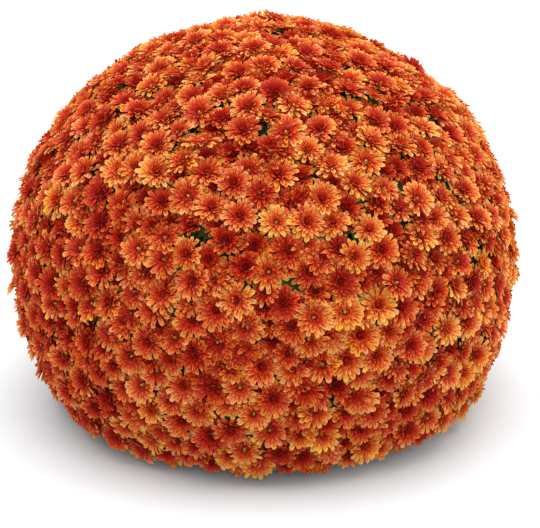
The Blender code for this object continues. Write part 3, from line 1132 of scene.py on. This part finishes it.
# %% Grow the leaves
for spray in sprays:
    mesh = mesh_from(f"{spray}_foliage", leaves_of(np.concatenate(places_of[spray])), leaf_finish)
    add_piece(mesh.name, mesh, "leaves", f"{spray}_leaves")
print("triangles in foliage:", total("foliage"))

# %% [markdown]
# Under the flowers every spray branches: the main stem ends in a few shoots, the
# shoots divide into finer ones, and each of those carries a handful of flower heads
# on thin stalks. A stalk widens into the green cup that holds the petals. All of
# them are tubes, swept along curves that leave the shoot pointing outward and arrive
# in line with the flower.

# %% Tubes along curves
TUBE_SIDES = 4
STALK_TILES = 4
STEEP_CHORD = 0.75


def curves_between(start, leave, end, arrive, stations):
    """Points of curves that leave and arrive along the given vectors."""
    t = np.array(stations)[None, :, None]
    weights = ((1 - t) ** 3, 3 * t * (1 - t) ** 2, 3 * t**2 * (1 - t), t**3)
    corners = (start, start + leave, end - arrive, end)
    return sum(weight * corner[:, None] for weight, corner in zip(weights, corners))


def tube_stack(line, radius):
    """Tubes around these lines, with a radius for each of their points."""
    tangent = unit(np.gradient(line, axis=1))
    chord = unit(line[:, -1] - line[:, 0])
    first, second = across_frames(tangent, guides(chord, STEEP_CHORD)[:, None])
    around = np.arange(TUBE_SIDES) * 2 * math.pi / TUBE_SIDES
    ring = np.cos(around)[:, None] * first[:, :, None] + np.sin(around)[:, None] * second[:, :, None]
    grid = line[:, :, None] + radius[..., None, None] * ring
    row, column = drawn.integers(0, STALK_TILES, (2, len(line)))[:, :, None, None]
    across = np.abs(1 - 2 * np.arange(TUBE_SIDES) / TUBE_SIDES)
    up = np.linspace(0, 1, line.shape[1])[:, None]
    return grid_stack(grid, tile_places(STALK_TILES, row, column, across, up), closed=True)


# %% [markdown]
# The stalks are green and finely ribbed lengthways. They use the same kind of tile
# sheet, so that no two neighbours have quite the same green.

# %% Stalk finish
STALK_RIBS = (7.0, 2.0)
STALK_BUMP = (0.4, 0.0005)
OWN_SHARE = 0.35
STALK_TONES = [
    (0.2, paint(0.17, 0.22, 0.08)),
    (0.5, paint(0.30, 0.38, 0.14)),
    (0.8, paint(0.45, 0.48, 0.22)),
]


def stalk_nodes():
    """Ribbed green."""
    made, tree, shader = new_material("stalk")
    row, own, across, up = tile_inputs(tree, STALK_TILES)
    ribs = long_streaks(tree, across, up, own, *STALK_RIBS)
    tone = maths(tree, "MULTIPLY_ADD", own, OWN_SHARE, maths(tree, "MULTIPLY", ribs, 1 - OWN_SHARE))
    roughness = spread_over(tree, ribs, 0.45, 0.75)
    finish_surface(tree, shader, ramp(tree, tone, STALK_TONES), roughness, ribs, STALK_BUMP)
    return made


stalk_finish = stalk_nodes()
print("nodes in the stalk finish:", len(stalk_finish.node_tree.nodes))

# %% [markdown]
# The plan of the branches follows from the flowers: a few knots are spread out under
# the heads of a spray, each knot is reached by a shoot from the nearest tip of the
# spray's stem, and each head gets a stalk from the nearest knot.

# %% Where the shoots end and where they divide
TIP_ZONE = 0.004
TIP_APART = 0.010
KNOT_DEPTH = 0.036
KNOT_APART = 0.030
KNOT_LOWEST_Z = 0.012
MOST_KNOTS = 12


def spread_out(points, most, apart):
    """Takes points in turn, leaving out each that is too near one taken before."""
    kept = []
    for point in points:
        if len(kept) < most and all(np.linalg.norm(point - other) > apart for other in kept):
            kept.append(point)
    return np.array(kept)


def shoot_tips(spray):
    """The ends of a stem solid's main shoot and side shoots."""
    middle = places_of[spray][0].mean(axis=0, keepdims=True)
    points = points_of(f"{spray}_stem")
    height = points @ outward(middle)[0]
    ends = points[height > height.max() - TIP_ZONE]
    return spread_out(ends, len(ends), TIP_APART)


def knots_of(heads):
    """The points under the flowers where the shoots divide into stalks."""
    from_middle = np.linalg.norm(heads["foot"] - heads["foot"].mean(axis=0), axis=1)
    inner = heads["foot"] - KNOT_DEPTH * heads["out"]
    knots = spread_out(inner[np.argsort(from_middle, kind="stable")], MOST_KNOTS, KNOT_APART)
    knots[:, 2] = np.maximum(knots[:, 2], KNOT_LOWEST_Z)
    return knots


# %% [markdown]
# Both kinds of tube start and end at known points, so each is one curve with two ends.
# How far it runs straight on before it bends is a share of the distance between them.
# A shoot tapers evenly. A stalk is thin almost to its end, where it opens into the
# green cup.

# %% Shoots and flower stalks
SHOOT_STATIONS = (0, 0.2, 0.4, 0.6, 0.8, 1.0)
SHOOT_R = (0.0016, 0.0010)
SHOOT_ARRIVES = 0.4
STALK_STATIONS = (0, 0.45, 0.86, 1.0)
STALK_R = 0.0007
STALK_NECK = 1.4
STALK_ARRIVES = 0.45
LEAVES_BY = 0.3
CUP_SHARE = 0.24


def nearest_of(points, ends):
    """The point nearest to each end, and how far away it is."""
    nearest = points[distances(ends, points).argmin(axis=1)]
    return nearest, np.linalg.norm(ends - nearest, axis=1, keepdims=True)


def shoots_to(knots, tips):
    """Tubes from the stem's tips to the knots."""
    start, reach = nearest_of(tips, knots)
    out = outward(knots)
    leave, arrive = LEAVES_BY * reach * out, SHOOT_ARRIVES * reach * out
    line = curves_between(start, leave, knots, arrive, SHOOT_STATIONS)
    return tube_stack(line, np.tile(np.linspace(*SHOOT_R, len(SHOOT_STATIONS)), (len(knots), 1)))


def stalks_to(heads, knots):
    """Tubes from the knots to the flower heads, which open into cups."""
    start, reach = nearest_of(knots, heads["foot"])
    leave, arrive = LEAVES_BY * reach * heads["out"], STALK_ARRIVES * reach * heads["axis"]
    line = curves_between(start, leave, heads["foot"], arrive, STALK_STATIONS)
    radius = np.tile([STALK_R, STALK_R, STALK_NECK * STALK_R, 0.0], (len(line), 1))
    radius[:, -1] = CUP_SHARE * heads["radius"]
    return tube_stack(line, radius)


# %% [markdown]
# The shoots and stalks have no solid of their own. Their piece is added beside the
# solid of the spray's main stem, which stays in sight, so it replaces nothing.

# %% Grow the shoots and stalks
for spray in sprays:
    knots = knots_of(heads_of[spray])
    tubes = [shoots_to(knots, shoot_tips(spray)), stalks_to(heads_of[spray], knots)]
    mesh = mesh_from(f"{spray}_stalks", tubes, stalk_finish)
    add_piece(mesh.name, mesh, "stems")
print("triangles in stalks:", total("stalks"))

# %% [markdown]
# The main stems keep the solid model's shape, which is right as it is: round, tapered
# and forked. They only need their bark. Chrysanthemum stems are green above and turn
# woody and brown towards the crown, so the colour follows the distance from the foot
# of the plant, and fine ridges run over it.

# %% Stem finish
WOODY_REACH = 0.16
STEM_RIDGES = (420.0, 5.0, 0.6)
RIDGE_SWING = 0.8
STEM_BUMP = (0.6, 0.0006)
STEM_TONES = [
    (0.15, paint(0.36, 0.27, 0.17)),
    (0.55, paint(0.34, 0.31, 0.15)),
    (0.95, paint(0.27, 0.35, 0.13)),
]


def stem_nodes():
    """Brown and woody near the crown, green farther up."""
    made, tree, shader = new_material("stem_bark")
    place = own_place(tree)
    ridges = soft_noise(tree, place, *STEM_RIDGES)
    age = maths(tree, "DIVIDE", vector_maths(tree, "LENGTH", place, output="Value"), WOODY_REACH)
    age = maths(tree, "ADD", age, from_half(tree, ridges, RIDGE_SWING))
    roughness = spread_over(tree, ridges, 0.5, 0.8)
    finish_surface(tree, shader, ramp(tree, age, STEM_TONES), roughness, ridges, STEM_BUMP)
    return made


stem_finish = stem_nodes()
for spray in sprays:
    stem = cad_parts[f"{spray}_stem"].data
    stem.materials.clear()
    stem.materials.append(stem_finish)
print("stems with bark:", len(sprays))

# %% [markdown]
# The crown is the short woody base where all the stems meet. Its bark is browner and
# rougher than a stem's, with cracks that run up and down: noise that is squeezed
# sideways draws them.

# %% Crown finish
CRACK_SQUEEZE = (260.0, 260.0, 90.0)
CRACKS = (1.0, 6.0, 0.65)
CROWN_BUMP = (0.8, 0.0012)
CROWN_TONES = [
    (0.30, paint(0.20, 0.14, 0.09)),
    (0.55, paint(0.40, 0.31, 0.21)),
    (0.75, paint(0.55, 0.46, 0.33)),
]


def crown_nodes():
    """Cracked brown bark."""
    made, tree, shader = new_material("crown_bark")
    squeezed = vector_maths(tree, "MULTIPLY", own_place(tree), CRACK_SQUEEZE)
    cracks = soft_noise(tree, squeezed, *CRACKS)
    roughness = spread_over(tree, cracks, 0.7, 0.9)
    finish_surface(tree, shader, ramp(tree, cracks, CROWN_TONES), roughness, cracks, CROWN_BUMP)
    return made


crown_finish = crown_nodes()
print("nodes in the crown finish:", len(crown_finish.node_tree.nodes))

# %% [markdown]
# The crown's solid is a smooth turned shape. A finer copy of it, with its skin pushed
# in and out by noise, has the lumps of real bark, and the flat cut underneath stays
# flat so that the plant still stands on it.

# %% Crown of the plant
CROWN_CUTS = 3
SAME_POINT = 1e-6
BARK_DEPTH = 0.0011
BARK_SCALE = 140.0
CUT_LEVEL = 0.0015


def rough_crown():
    """A finer copy of the crown's solid with its skin roughened by noise."""
    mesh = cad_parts["crown"].data.copy()
    mesh.name = "crown_wood"
    mesh.materials.clear()
    mesh.materials.append(crown_finish)
    skin = bmesh.new()
    skin.from_mesh(mesh)
    bmesh.ops.remove_doubles(skin, verts=skin.verts, dist=SAME_POINT)
    bmesh.ops.subdivide_edges(skin, edges=skin.edges, cuts=CROWN_CUTS, use_grid_fill=True)
    skin.normal_update()
    for point in skin.verts:
        if point.co.z > CUT_LEVEL:
            point.co += point.normal * BARK_DEPTH * noise.noise(point.co * BARK_SCALE)
    skin.to_mesh(mesh)
    skin.free()
    mesh.polygons.foreach_set("use_smooth", np.ones(len(mesh.polygons), bool))
    return mesh


add_piece("crown_wood", rough_crown(), "crown_wood", "crown")
print("triangles in all:", total(), "most in a piece:", max(made_triangles.values()))
